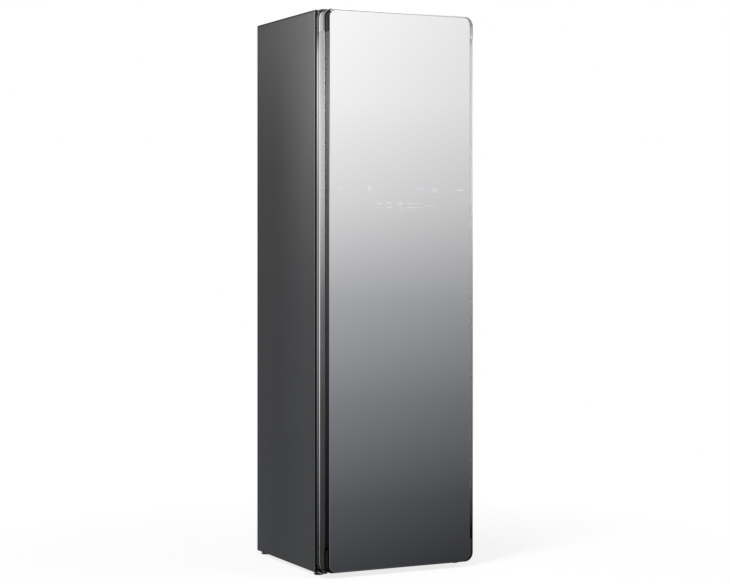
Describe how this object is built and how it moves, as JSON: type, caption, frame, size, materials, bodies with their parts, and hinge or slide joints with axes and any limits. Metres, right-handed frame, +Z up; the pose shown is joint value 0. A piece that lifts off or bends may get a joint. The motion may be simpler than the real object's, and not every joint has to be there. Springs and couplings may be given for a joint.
{
  "type": "clothes care steam cabinet",
  "caption": "Tall free-standing clothes care cabinet with a mirror-finish door, shaking hanger bar, steam generator and heat pump.",
  "frame": {"origin": "on the floor, under the centre of the box that holds cabinet and door", "axes": "+X to the right seen from the front, +Y to the back, +Z up"},
  "size_m": [0.586, 0.598, 1.96],
  "materials": {
    "painted_steel": "satin grey paint",
    "galvanised_sheet": "dull zinc coat",
    "mirror_glass": "toned mirror",
    "anodised_aluminium": "satin anodised",
    "dark_plastic": "fine texture",
    "grey_plastic": "fine texture",
    "pale_plastic": "smooth moulded",
    "tank_plastic": "smoky gloss",
    "foam": "expanded foam",
    "black_rubber": "matte",
    "circuit_board": "solder mask",
    "press_felt": "felted pad",
    "black_paint": "semi-gloss black",
    "copper_tube": "drawn copper",
    "coil_fins": "thin fin stock",
    "lamp_diffuser": "opal"
  },
  "bodies": {
    "cabinet": {"base_tray": "galvanised_sheet", "left_side_panel": "painted_steel", "right_side_panel": "painted_steel", "left_insulation": "foam", "right_insulation": "foam", "top_panel": "painted_steel", "rear_panel": "galvanised_sheet", "cord_inlet": "black_rubber", "front_frame": "grey_plastic", "chamber_liner": "pale_plastic", "chamber_floor": "grey_plastic", "lamp_lens": "lamp_diffuser", "steam_nozzle": "grey_plastic", "steam_pipe": "black_rubber", "steam_generator": "galvanised_sheet", "drive_housing": "dark_plastic", "drive_motor": "galvanised_sheet", "tank_bay": "pale_plastic", "machine_deck": "dark_plastic", "compressor": "black_paint", "refrigerant_pipe": "copper_tube", "evaporator": "coil_fins", "condenser": "coil_fins", "blower_housing": "dark_plastic", "blower_motor": "galvanised_sheet", "supply_pump": "dark_plastic", "drain_pump": "dark_plastic", "control_box": "galvanised_sheet", "top_hinge_bracket": "black_paint", "bottom_hinge_bracket": "black_paint", "front_left_foot": "dark_plastic", "front_right_foot": "dark_plastic", "rear_left_foot": "dark_plastic", "rear_right_foot": "dark_plastic"},
    "door": {"door_glass": "mirror_glass", "door_left_profile": "anodised_aluminium", "door_right_profile": "anodised_aluminium", "door_top_cap": "dark_plastic", "door_bottom_cap": "dark_plastic", "door_core": "foam", "door_liner": "pale_plastic", "door_gasket": "black_rubber", "display_module": "circuit_board", "press_pad": "press_felt", "lower_press_hinge": "dark_plastic", "upper_press_hinge": "dark_plastic"},
    "press": {"press_plate": "grey_plastic"},
    "press_release": {"press_button": "dark_plastic"},
    "hanger_carriage": {"hanger_bar": "grey_plastic"},
    "crank": {"drive_crank": "pale_plastic"},
    "hanger_1": {"coat_hanger_1": "dark_plastic"},
    "hanger_2": {"coat_hanger_2": "dark_plastic"},
    "hanger_3": {"coat_hanger_3": "dark_plastic"},
    "lift_out_shelf": {"shelf": "grey_plastic"},
    "filter": {"lint_filter": "dark_plastic"},
    "aroma": {"aroma_tray": "grey_plastic"},
    "fan_wheel": {"blower_wheel": "dark_plastic"},
    "supply_tank": {"water_supply_tank": "tank_plastic"},
    "waste_tank": {"drain_tank": "tank_plastic"}
  },
  "joints": [
    {"name": "door_hinge", "type": "hinge", "parent": "cabinet", "child": "door", "pos_m": [-0.275, -0.252, 0.98], "axis": [0, 0, -1], "range_deg": [0, 110]},
    {"name": "press_hinge", "type": "hinge", "parent": "door", "child": "press", "pos_m": [-0.2, -0.2202, 1.105], "axis": [0, 0, 1], "range_deg": [0, 80]},
    {"name": "press_button_travel", "type": "slide", "parent": "press", "child": "press_release", "axis": [0, -1, 0], "range_m": [0, 0.002], "stiffness_N_per_m": 400},
    {"name": "hanger_shake", "type": "slide", "parent": "cabinet", "child": "hanger_carriage", "axis": [1, 0, 0], "range_m": [-0.01, 0.01]},
    {"name": "crank_spin", "type": "hinge", "parent": "cabinet", "child": "crank", "pos_m": [0, 0.0039, 1.89], "axis": [0, 0, 1], "continuous": true},
    {"name": "hanger_1_swing", "type": "hinge", "parent": "hanger_carriage", "child": "hanger_1", "pos_m": [-0.13, 0.0039, 1.8], "axis": [1, 0, 0], "range_deg": [-12, 12]},
    {"name": "hanger_2_swing", "type": "hinge", "parent": "hanger_carriage", "child": "hanger_2", "pos_m": [0, 0.0039, 1.8], "axis": [1, 0, 0], "range_deg": [-12, 12]},
    {"name": "hanger_3_swing", "type": "hinge", "parent": "hanger_carriage", "child": "hanger_3", "pos_m": [0.13, 0.0039, 1.8], "axis": [1, 0, 0], "range_deg": [-12, 12]},
    {"name": "shelf_lift", "type": "slide", "parent": "cabinet", "child": "lift_out_shelf", "axis": [0, 0, 1], "range_m": [0, 0.1]},
    {"name": "filter_pull", "type": "slide", "parent": "cabinet", "child": "filter", "axis": [0, 0, 1], "range_m": [0, 0.11]},
    {"name": "aroma_pull", "type": "slide", "parent": "cabinet", "child": "aroma", "axis": [0, 0, 1], "range_m": [0, 0.06]},
    {"name": "fan_spin", "type": "hinge", "parent": "cabinet", "child": "fan_wheel", "pos_m": [0.148, 0.112, 0.3543], "axis": [1, 0, 0], "continuous": true},
    {"name": "supply_tank_pull", "type": "slide", "parent": "cabinet", "child": "supply_tank", "axis": [0, -1, 0], "range_m": [0, 0.018]},
    {"name": "waste_tank_pull", "type": "slide", "parent": "cabinet", "child": "waste_tank", "axis": [0, -1, 0], "range_m": [0, 0.018]}
  ]
}
